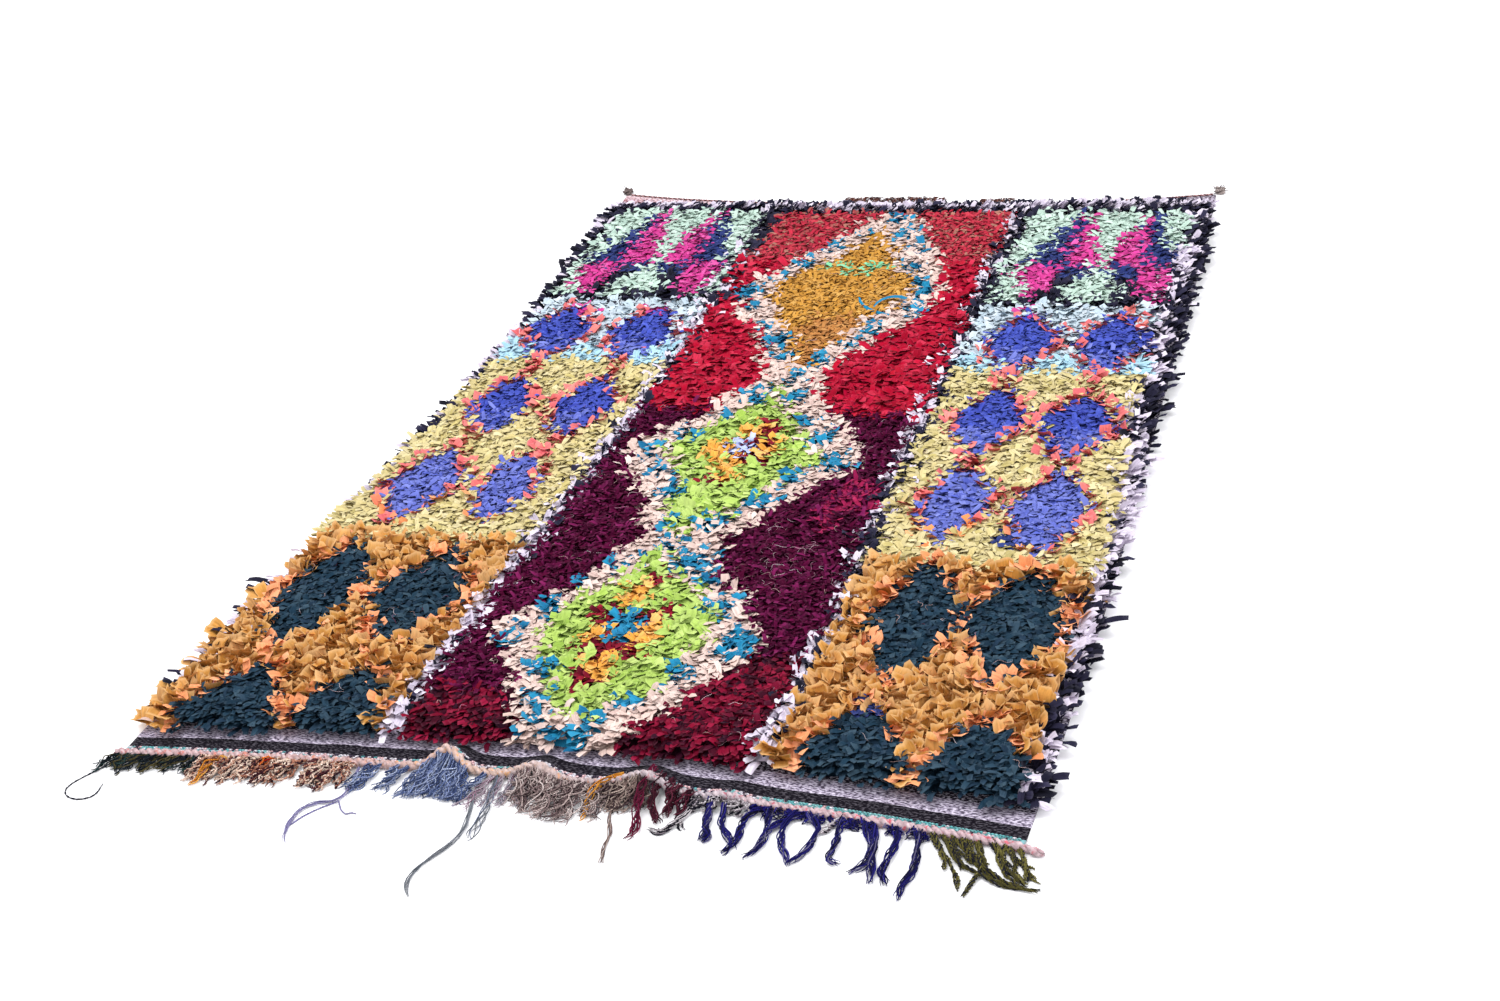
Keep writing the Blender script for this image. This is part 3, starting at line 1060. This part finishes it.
# Runs of the fringe: lean and bend are sideways travel for each length
Run = namedtuple("Run", "name look start end count length lean bend")
NEAR_RUNS = (
    Run("green_black", TUFT, -0.764, -0.600, 23, 0.042, -0.50, 0.0),
    Run("beige_brown", PLY, -0.606, -0.334, 46, 0.058, -0.22, -0.1),
    Run("steel_blue", WOOL, -0.322, -0.104, 9, 0.060, -0.12, -0.1),
    Run("pink_grey", THIN, -0.108, -0.034, 8, 0.074, -0.05, 0.0),
    Run("taupe", CURLS, -0.060, 0.098, 19, 0.080, 0.02, 0.0),
    Run("brown", CURLS, 0.096, 0.160, 9, 0.056, 0.05, 0.0),
    Run("black_white", PLY, 0.226, 0.330, 7, 0.026, 0.00, 0.0),
    Run("olive", STRAND, 0.606, 0.746, 13, 0.062, 0.45, 0.1),
    Run("navy", TUFT, 0.330, 0.600, 20, 0.018, 0.05, 0.2),
)
FAR_RUNS = (
    Run("far_brown", FUZZ, -0.148, 0.104, 34, 0.036, 0.10, 0.0),
    Run("far_brown", FUZZ, 0.186, 0.264, 11, 0.026, 0.05, 0.0),
)

# The blue wool that fans out under the cord's arch: its middle, hanks, width at cord and tips, and reach
FAN_MIDDLE, FAN_HANKS, FAN_ROOT_WIDTH, FAN_WIDTH, FAN_LENGTH = -0.181, 9, 0.046, 0.104, 0.088

# Hanks and loose yarns that each lie in a way of their own, as places x, y, x, y and so on in millimetres
HANKS = (
    ("navy", HANK, (
        (262, -1140, 276, -1172, 278, -1204, 277, -1232),
        (270, -1151, 272, -1179, 276, -1202, 291, -1219, 282, -1234),
        (291, -1150, 297, -1195, 318, -1219, 329, -1236, 318, -1256),
        (360, -1147, 335, -1158, 329, -1185, 332, -1217, 331, -1240),
        (362, -1150, 368, -1179, 371, -1207, 367, -1240, 352, -1262),
        (420, -1148, 398, -1160, 378, -1182, 371, -1204),
        (399, -1150, 393, -1185, 399, -1221, 413, -1248, 424, -1266),
        (420, -1150, 444, -1177, 445, -1205, 436, -1238, 422, -1262),
        (475, -1150, 476, -1182, 478, -1218, 474, -1245, 496, -1254),
        (503, -1148, 518, -1180, 534, -1210, 533, -1246, 513, -1270),
        (520, -1150, 534, -1192, 538, -1236, 551, -1284),
        (553, -1155, 566, -1187, 563, -1223, 557, -1251, 572, -1288),
        (584, -1160, 598, -1187, 602, -1226, 603, -1261, 593, -1280, 598, -1313),
    )),
    ("black_white", STRAND, (
        (476, -1152, 464, -1165, 456, -1180, 445, -1190),
        (270, -1135, 253, -1156, 239, -1170, 225, -1178, 242, -1212),
    )),
    ("black_white", HANK, ((242, -1150, 238, -1178, 227, -1196, 214, -1224, 190, -1215),)),
    ("maroon", FAT, ((164, -1095, 155, -1116, 158, -1155, 166, -1188, 172, -1229, 160, -1246),)),
    ("dark_maroon", FAT, (
        (181, -1103, 176, -1133, 180, -1166, 200, -1203), (194, -1108, 196, -1135, 214, -1166),
        (212, -1118, 208, -1150, 206, -1190), (236, -1128, 228, -1160, 222, -1186),
    )),
    ("olive", STRAND, (
        (613, -1165, 635, -1208, 656, -1236, 670, -1255, 677, -1280),
        (629, -1168, 660, -1226, 695, -1243, 726, -1257, 784, -1268),
        (657, -1168, 676, -1211, 704, -1233, 742, -1255, 781, -1266),
        (679, -1168, 692, -1213, 695, -1247, 683, -1292),
        (703, -1170, 716, -1209, 737, -1241, 768, -1258),
        (722, -1174, 722, -1208, 739, -1240, 766, -1255), (738, -1176, 763, -1230, 767, -1253),
        (640, -1168, 674, -1202, 706, -1245, 732, -1258),
    )),
    ("left_loop", SINGLE, (
        (-751, -1175, -784, -1218, -802, -1248, -801, -1267, -771, -1283, -746, -1276, -735, -1262,
         -746, -1243, -744, -1230),
    )),
    ("lavender", LOOSE, (
        (-326, -1140, -320, -1180, -319, -1203, -322, -1222, -366, -1235, -379, -1257, -378, -1292,
         -372, -1315, -361, -1329),
    )),
    ("lavender", SINGLE, (
        (-322, -1222, -346, -1242, -364, -1265, -375, -1291, -391, -1294),
        (-322, -1222, -310, -1240, -295, -1251, -291, -1244, -273, -1247),
    )),
    ("grey", LOOSE, (
        (-116, -1125, -110, -1170, -99, -1217, -89, -1263, -102, -1308, -125, -1344, -133, -1368, -124,
         -1398, -108, -1414),
    )),
    ("grey", THIN, ((-90, -1130, -78, -1189, -76, -1233, -74, -1280),)),
    ("brown", LOOSE, ((122, -1120, 118, -1175, 123, -1204, 139, -1239, 142, -1271, 147, -1300),)),
    ("orange", BRIGHT, (
        (114, -1105, 97, -1119, 84, -1146, 83, -1176, 78, -1201, 78, -1218),
        (-570, -1155, -578, -1177, -584, -1199, -595, -1223), (-576, -1150, -560, -1160, -540, -1156),
    )),
    ("red", BRIGHT, ((-476, -1145, -484, -1158, -492, -1184),)),
)

# The colours of each run's yarns
YARNS = {
    "green_black": ((40, 62, 62), (22, 28, 36), (34, 44, 52), (28, 36, 44), (92, 84, 52)),
    "beige_brown": ((236, 208, 190), (218, 182, 160), (84, 42, 48), (56, 30, 40), (240, 218, 200),
                    (176, 120, 98)),
    "steel_blue": ((136, 150, 192), (94, 110, 154), (168, 180, 210), (66, 80, 122)),
    "pink_grey": ((188, 172, 184), (176, 140, 160), (150, 148, 162), (200, 188, 196)),
    "taupe": ((184, 164, 160), (138, 116, 116), (214, 198, 194), (96, 78, 80)),
    "brown": ((140, 118, 112), (100, 80, 78), (180, 160, 150), (66, 50, 54)),
    "black_white": ((34, 32, 44), (206, 198, 202), (28, 26, 36), (150, 140, 148)),
    "olive": ((98, 92, 46), (74, 70, 38), (34, 34, 44), (116, 110, 60)),
    "navy": ((34, 30, 112), (26, 24, 92), (40, 36, 126), (24, 22, 60), (30, 28, 100), (22, 20, 48),
             (40, 36, 120), (26, 24, 80), (32, 30, 104), (110, 106, 140)),
    "maroon": ((112, 24, 58), (84, 18, 44), (136, 42, 76)),
    "dark_maroon": ((70, 24, 40), (52, 18, 34), (92, 34, 52)),
    "left_loop": ((40, 40, 52), (54, 52, 66)),
    "lavender": ((128, 122, 168), (98, 96, 132), (150, 144, 186)),
    "grey": ((128, 132, 138), (108, 114, 122), (150, 152, 160), (120, 128, 150)),
    "orange": ((222, 150, 54), (206, 128, 44), (232, 170, 84)),
    "red": ((196, 44, 36), (214, 110, 40)),
    "far_brown": ((126, 78, 70), (96, 60, 58), (150, 100, 88), (70, 50, 52)),
}


def run_routes(run, edge, offset, out, rng):
    """Routes of a run's strands, out from a cord that lies beside one of the cloth's edges."""
    pitch = (run.end - run.start) / run.count
    shares = np.array((0.0, 0.35, 0.7, 1.0))
    routes = []
    for k in range(run.count):
        x = run.start + pitch * (k + 0.5 + rng.uniform(-0.3, 0.3))
        root = beside(edge, np.clip(x, *NEAR_CORNERS), offset)
        length = run.length * rng.uniform(0.62, 1.20)
        wander = rng.uniform(-0.25, 0.25) * pitch + length * rng.normal(0, 0.24)
        route_x = x + length * (run.lean * shares + run.bend * shares**3) + wander * shares
        routes.append(np.stack([route_x, root + out * length * shares], -1))
    return routes


def thread_piece(name, colour, path, look, node, rng):
    """All threads of one colour and look, as one piece."""
    radius = look.radius
    if look.ply:
        path = plied(path, look.radius * 0.85, 9.0, rng)
        radius = look.radius * 0.9
    title = "wool_" + colour
    material = bpy.data.materials.get(title) or yarn_material(title, even_stops(YARNS[colour]))
    keep(yarn_piece(name, path, tapered(len(path), path.shape[1], radius), 3, material, rng), node)


def near_fringe():
    rng = draws("near fringe")
    groups = {}

    def add(name, route, look, stations=19):
        groups.setdefault((name, look), []).append(threads_along(route, look, rng, stations))

    for run in NEAR_RUNS:
        for route in run_routes(run, near_edge, -0.0100, -1, rng):
            add(run.name, route, run.look)
    for name, look, routes in HANKS:
        for route in routes:
            add(name, np.reshape(metres(route), (-1, 2)), look, 30)
    for k in range(FAN_HANKS):
        place = k / (FAN_HANKS - 1) - 0.5
        x, tip = FAN_MIDDLE + FAN_ROOT_WIDTH * place, FAN_MIDDLE + FAN_WIDTH * place
        root = near_edge(x) - 0.006
        add("steel_blue.fan", ((x, root), ((x + tip) / 2, root - 0.030), (tip, root - FAN_LENGTH)), WOOL)
    made = {}
    for (name, look), paths in groups.items():
        for stations in sorted({path.shape[1] for path in paths}):
            path = np.concatenate([path for path in paths if path.shape[1] == stations])
            made[name] = made.get(name, 0) + 1
            title = f"yarn_{name}" if made[name] == 1 else f"yarn_{name}.{made[name]}"
            thread_piece(title, name.split(".")[0], path, look, "near_fringe", rng)


def far_fringe():
    rng = draws("far fringe")
    paths = []
    for run in FAR_RUNS:
        routes = run_routes(run, far_edge, FAR_CORD_OFFSET, 1, rng)
        paths += [threads_along(route, run.look, rng, 12) for route in routes]
    thread_piece("yarn_far_brown", "far_brown", np.concatenate(paths), FUZZ, "far_fringe", rng)


def hairs_round(path, count, length, radius, rng):
    """Short stray fibres that stand off a cord, as (count, 3, 3) paths."""
    place = rng.integers(1, len(path) - 1, count)
    way = unit(path[place + 1] - path[place - 1])
    angle = rng.uniform(0, TAU, count)[:, None]
    side = level_side(way)
    off = side * np.cos(angle) + np.cross(way, side) * np.sin(angle)
    start = path[place] + off * radius + way * rng.uniform(-0.002, 0.002, (count, 1))
    reach = (length * rng.uniform(0.4, 1.2, (count, 1)))[:, None]
    slide = way * rng.normal(0, 0.7, (count, 1))
    share = np.linspace(0, 1, 3)[None, :, None]
    bend = rng.normal(0, 0.3, (count, 1, 3)) * share**2
    return start[:, None] + (off + slide)[:, None] * reach * share + bend * reach


def cord_pieces(name, plies, radii, sides, material, hairs, rng, shades=None):
    """The plies of a cord and its stray fibres. The hairs are their count to a ply, length and distance out."""
    keep(yarn_piece(name + "_plies", plies, radii, sides, material, rng, shades), name)
    path = np.concatenate([hairs_round(ply, *hairs, rng) for ply in plies])
    fibres = yarn_piece(name + "_fibres", path, tapered(len(path), 3, 0.00032, 0.2), 3, material, rng)
    keep(fibres, name)


# Colours of the near cord and of its flecks at places along it, from the left end, 0, to the right end, 1
CORD_PALE = (206, 190, 192)
CORD_STOPS = [
    (0.0, (180, 150, 154)), (0.30, (184, 152, 148)), (0.42, (194, 166, 152)), (0.55, (176, 160, 162)),
    (0.66, (170, 160, 168)), (0.74, (186, 160, 164)), (1.0, (186, 158, 164)),
]
FLECK_STOPS = [
    (0.0, (190, 92, 92)), (0.25, (206, 124, 88)), (0.36, (222, 154, 74)), (0.48, (212, 150, 84)),
    (0.62, (170, 90, 110)), (0.8, (204, 62, 84)),
]


def cord_material(name):
    """Loose pink roving with flecks of red, orange and grey that change along the rug."""
    material, tree, shader = new_material(name, 0.95, 0.1)
    place = add_node(tree, "ShaderNodeTexCoord").outputs["Object"]
    x = add_node(tree, "ShaderNodeSeparateXYZ", {0: place}).outputs[0]
    shade = ranged(tree, x, -0.78, 0.78, 0.0, 1.0)
    base = ramp_of(tree, shade, CORD_STOPS)
    soft = noise_at(tree, place, 130.0, 2.0)
    base = mixed(tree, ranged(tree, soft, 0.45, 0.65, 0.0, 0.6), base, linear(CORD_PALE))
    flecks = noise_at(tree, place, 120.0, 2.0)
    fleck_colour = ramp_of(tree, shade, FLECK_STOPS)
    base = mixed(tree, ranged(tree, flecks, 0.58, 0.66, 0.0, 0.70), base, fleck_colour)
    base = toned(tree, base, stretched_noise(tree, 700, 180, 2.0), 0.35, 0.65, 0.72, 1.10)
    tree.links.new(base, shader.inputs["Base Color"])
    bumped(tree, shader, soft, 0.0020)
    return material


def twined(line, angle, flat, out):
    """Two plies on either side of a line, turning round it in a flattened circle."""
    swing = np.stack([0 * angle, np.cos(angle), np.sin(angle) * flat], -1) * out
    return np.stack([line + swing, line - swing])


def near_cord():
    """Two fat plies of roving twined along the near edge, furred with stray fibres."""
    rng = draws("near cord")
    pitch = 0.024
    x = np.linspace(*NEAR_CORD_ENDS, 560)
    inside = np.clip(x, *NEAR_CORNERS)
    y = beside(near_edge, inside, -NEAR_CORD_OFFSET) - 0.35 * np.maximum(0, x - inside)
    line = np.stack([x, y, NEAR_CORD_HEIGHT + lift(inside, 0.0)], -1)
    angle = TAU * x / pitch + 3.0 * smooth_noise(x, x * 0, 0.05, "slack")
    radii = np.tile(0.0045 * (1 + 0.30 * smooth_noise(x, x * 0, 0.008, "roving")), (2, 1))
    radii[:, :4] *= np.linspace(0.4, 1, 4)
    radii[:, -6:] *= np.linspace(1, 0.3, 6)
    material = cord_material("pink_roving")
    plies, hairs = twined(line, angle, 0.70, 0.0036), (1300, 0.0050, 0.0038)
    cord_pieces("near_cord", plies, radii, 7, material, hairs, rng)


def far_cord():
    """The thin dark cord along the far edge."""
    pitch = 0.014
    x = np.linspace(*FAR_CORD_ENDS, 320)
    line = np.stack([x, beside(far_edge, x, FAR_CORD_OFFSET), 0 * x + FAR_CORD_HEIGHT], -1)
    plies = twined(line, TAU * x / pitch, 0.8, 0.0015)
    material = yarn_material("far_cord_wool", even_stops(((196, 150, 150), (110, 72, 74))))
    radii, shades, hairs = np.full((2, x.size), 0.0019), np.array([0.2, 0.7]), (500, 0.0040, 0.0018)
    cord_pieces("far_cord", plies, radii, 5, material, hairs, draws("far cord"), shades)


def corner_knot(name, side):
    """A fuzzy knot of warp ends at a far corner: curled yarns round a lumpy core."""
    rng = draws(name)
    low, high = (np.array(corner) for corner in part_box(name))
    middle = (low + high) / 2
    middle[2] = 0.0075
    count = 50
    direction = unit(rng.normal(0, 1, (count, 3)) * (1, 1, 0.55) + (side * 0.35, 0.35, 0), 0.0)
    share = np.linspace(0, 1, 12)
    reach = rng.uniform(0.008, 0.017, (count, 1))
    curl = rng.normal(0, 0.0035, (count, 1, 3)) * np.sin(share * 5.0)[None, :, None]
    path = middle + direction[:, None] * (reach * share)[..., None] + curl
    path[..., 2] = np.clip(path[..., 2], 0.0010, 0.021)
    path[..., :2] = np.clip(path[..., :2], low[:2] - 0.004, high[:2] + 0.004)
    turns = np.linspace(0, TAU * 5, 150)
    across, along = np.sin(turns * 1.03) * 0.0085, np.cos(turns * 0.83) * 0.0085
    wound = np.stack([across, along, np.sin(turns * 0.61) * 0.0040], -1)
    material = yarn_material("wool_" + name, even_stops(((150, 138, 134), (122, 108, 106), (92, 78, 80))))
    core = yarn_piece(name + "_core", (middle + wound)[None], np.full((1, 150), 0.0034), 6, material, rng)
    ends = yarn_piece(name + "_ends", path, tapered(count, 12, 0.0011), 3, material, rng)
    for piece in (core, ends):
        keep(piece, name)


def edge_stitches():
    """Rows of small twined stitches between the woven stripes and the near cord."""
    rng = draws("stitches")
    share = np.linspace(-1, 1, 5)
    rows = []
    for distance, pitch in ((0.0062, 0.0052), (0.0108, 0.0056)):
        x = np.arange(-0.748, 0.738, pitch)
        x = x + rng.normal(0, 0.0003, x.size)
        along = x[:, None] + share * pitch * 0.62
        height = CLOTH_THICKNESS + lift(along, distance) + 0.0013 * (1 - share**2) + 0.0002
        rows.append(np.stack([along, near_edge(along) + distance + share * 0.0011, height], -1))
    path = np.concatenate(rows)
    count, x = len(path), path[:, 2, 0]
    radii = np.tile(0.0021 * np.array([0.45, 0.95, 1.0, 0.95, 0.45]), (count, 1))
    places, teal = (-0.75, -0.70, -0.45, -0.30, 0.30, 0.42, 0.74), (0.70, 0.5, 0.22, 0.12, 0.25, 0.78, 0.80)
    teal_share = np.interp(x, places, teal)
    teal_here = rng.random(count) < teal_share
    shade = np.where(teal_here, rng.uniform(0.0, 0.49, count), rng.uniform(0.5, 1.0, count))
    stops = [(0.0, (92, 158, 162)), (0.25, (122, 178, 180)), (0.5, (208, 204, 212)), (0.7, (60, 52, 68)),
             (0.85, (214, 176, 180))]
    material = yarn_material("stitch_wool", stops)
    piece = yarn_piece("edge_stitches", path, radii, 5, material, rng, shade)
    keep(piece, "ground_cloth")


def set_camera():
    """The camera at the photograph's angle, fitted to the rug's corners."""
    data = bpy.data.cameras.new("camera")
    data.lens = 51.66
    data.sensor_width = 36.0
    right = (0.947528, 0.294833, -0.123547)
    up = (-0.044633, 0.504711, 0.862134)
    forward = (-0.316542, 0.811382, -0.491387)
    place = (1.32081, -3.51126, 1.96918)
    camera = linked("camera", data)
    rows = [[right[k], up[k], -forward[k], place[k]] for k in range(3)]
    camera.matrix_world = Matrix(rows + [[0, 0, 0, 1]])
    bpy.context.scene.camera = camera


def area_light(name, place, aim, size, power):
    data = bpy.data.lights.new(name, "AREA")
    data.energy = power
    data.size = size
    light = linked(name, data)
    light.location = place
    light.rotation_euler = (Vector(aim) - Vector(place)).to_track_quat("-Z", "Y").to_euler()


def studio():
    """A pale floor under soft light from all round, a little stronger from high on the left."""
    floor_size = 30.0
    points = np.array([(-1, -1, 0), (1, -1, 0), (1, 1, 0), (-1, 1, 0)]) * floor_size
    material, _, shader = new_material("floor_paper", 0.9)
    shader.inputs["Base Color"].default_value = (0.93, 0.93, 0.94, 1)
    mesh_piece("floor", points, np.array([[0, 1, 2, 3]]), material, smooth=False)
    world = bpy.data.worlds.new("studio")
    bpy.context.scene.world = world
    world.use_nodes = True
    background = world.node_tree.nodes["Background"]
    background.inputs["Color"].default_value = (0.97, 0.97, 1.0, 1)
    background.inputs["Strength"].default_value = 1.15
    area_light("key", (-1.1, -0.5, 4.0), (0, 0, 0), 2.4, 120)
    area_light("fill", (3.0, 0.0, 2.6), (0, -0.1, 0), 2.6, 60)
    bpy.context.scene.view_settings.view_transform = "Standard"


def ground_cloth():
    """The woven ground as one sheet: flat-woven stripes at both ends, rippled along the near edge."""
    columns = 220
    near_rows, far_rows = np.arange(0, 0.090, 0.0045), np.arange(0, 0.100, 0.0070)
    share = np.linspace(-1, 1, columns + 1)
    x = share * 0.751 - 0.006
    inside = np.clip(x, *NEAR_CORNERS)
    start, end = near_edge(x) + near_rows[-1], far_edge(x) - far_rows[-1]
    rows = [near_edge(inside) + distance for distance in near_rows]
    rows += [start + (end - start) * along for along in np.linspace(0.0, 1.0, 14)[1:-1]]
    rows += [far_edge(x) - distance for distance in far_rows[::-1]]
    y = np.array(rows)
    left, right = side_left(y), side_right(y)
    x = left + (right - left) * (share[None] + 1) / 2
    y[:len(near_rows)] = near_edge(x[:len(near_rows)]) + near_rows[:, None]
    y[-len(far_rows):] = far_edge(x[-len(far_rows):]) - far_rows[::-1, None]
    from_near, from_far = y - near_edge(x), far_edge(x) - y
    z = CLOTH_THICKNESS + lift(x, from_near) + 0.0004 * smooth_noise(x, y * 4, 0.006, "slub")
    top, edges = (np.stack(parts, -1).reshape(-1, 3) for parts in ((x, y, z), (x, from_near, from_far)))
    faces = grid_faces(1, len(rows), columns + 1)
    piece = mesh_piece("woven_ground", top, faces, ground_material(), {"Cloth": top[:, :2]}, {"edges": edges})
    thickness = piece.modifiers.new("Thickness", "SOLIDIFY")
    thickness.thickness = CLOTH_THICKNESS - 0.0006
    thickness.offset = -1
    keep(piece, "ground_cloth")


def ground_material():
    """Plain weave in stripes across both ends, heathered by mixed yarns."""
    near_depth, far_depth = 0.090, 0.1
    dark, lilac, teal, dull = (15, 11, 20), (152, 142, 162), (112, 168, 172), (70, 52, 62)
    material, tree, shader = new_material("woven_stripes", 0.92, 0.05)
    x, near, far = attribute(tree, "edges")
    wobble = ranged(tree, stretched_noise(tree, 16, 16, 2.0), 0.0, 1.0, -0.004, 0.004)
    near = worked(tree, "MULTIPLY", worked(tree, "ADD", near, wobble), 1 / near_depth)
    stripes = ramp_of(tree, near, [(0.0, teal), (0.140, dark), (0.450, lilac), (0.830, dark)], "CONSTANT")
    far_share = worked(tree, "MULTIPLY", far, 1 / far_depth)
    far_stripes = ramp_of(tree, far_share, [(0.0, (226, 190, 190)), (0.34, (150, 84, 84)), (0.50, dark)])
    at_far = worked(tree, "LESS_THAN", far, far_depth)
    base = mixed(tree, at_far, stripes, far_stripes)
    right_part = worked(tree, "MULTIPLY", ranged(tree, x, -0.30, -0.12, 0.0, 1.0), at_far)
    base = mixed(tree, right_part, base, linear(dull))
    specks = stretched_noise(tree, 150, 420, 2.0)
    in_lilac = ranged(tree, near, 0.440, 0.460, 0.0, 1.0)
    light = ranged(tree, specks, 0.52, 0.58, 0.0, 1.0)
    light = worked(tree, "MULTIPLY", light, ranged(tree, in_lilac, 0.0, 1.0, 0.11, 1.0))
    deep = ranged(tree, specks, 0.48, 0.42, 0.0, 1.0)
    base = mixed(tree, ranged(tree, light, 0.0, 1.0, 0.0, 0.75), base, linear((222, 214, 230)))
    deep = worked(tree, "MULTIPLY", deep, in_lilac)
    base = mixed(tree, ranged(tree, deep, 0.0, 1.0, 0.0, 0.90), base, linear((50, 40, 58)))
    tree.links.new(base, shader.inputs["Base Color"])
    bumped(tree, shader, specks, 0.0012, 0.9)
    return material


set_camera()
studio()
ground_cloth()
rag_pile()
stray_rags()
loose_threads()
edge_stitches()
near_cord()
far_cord()
near_fringe()
far_fringe()
corner_knot("corner_knot_left", -1)
corner_knot("corner_knot_right", 1)
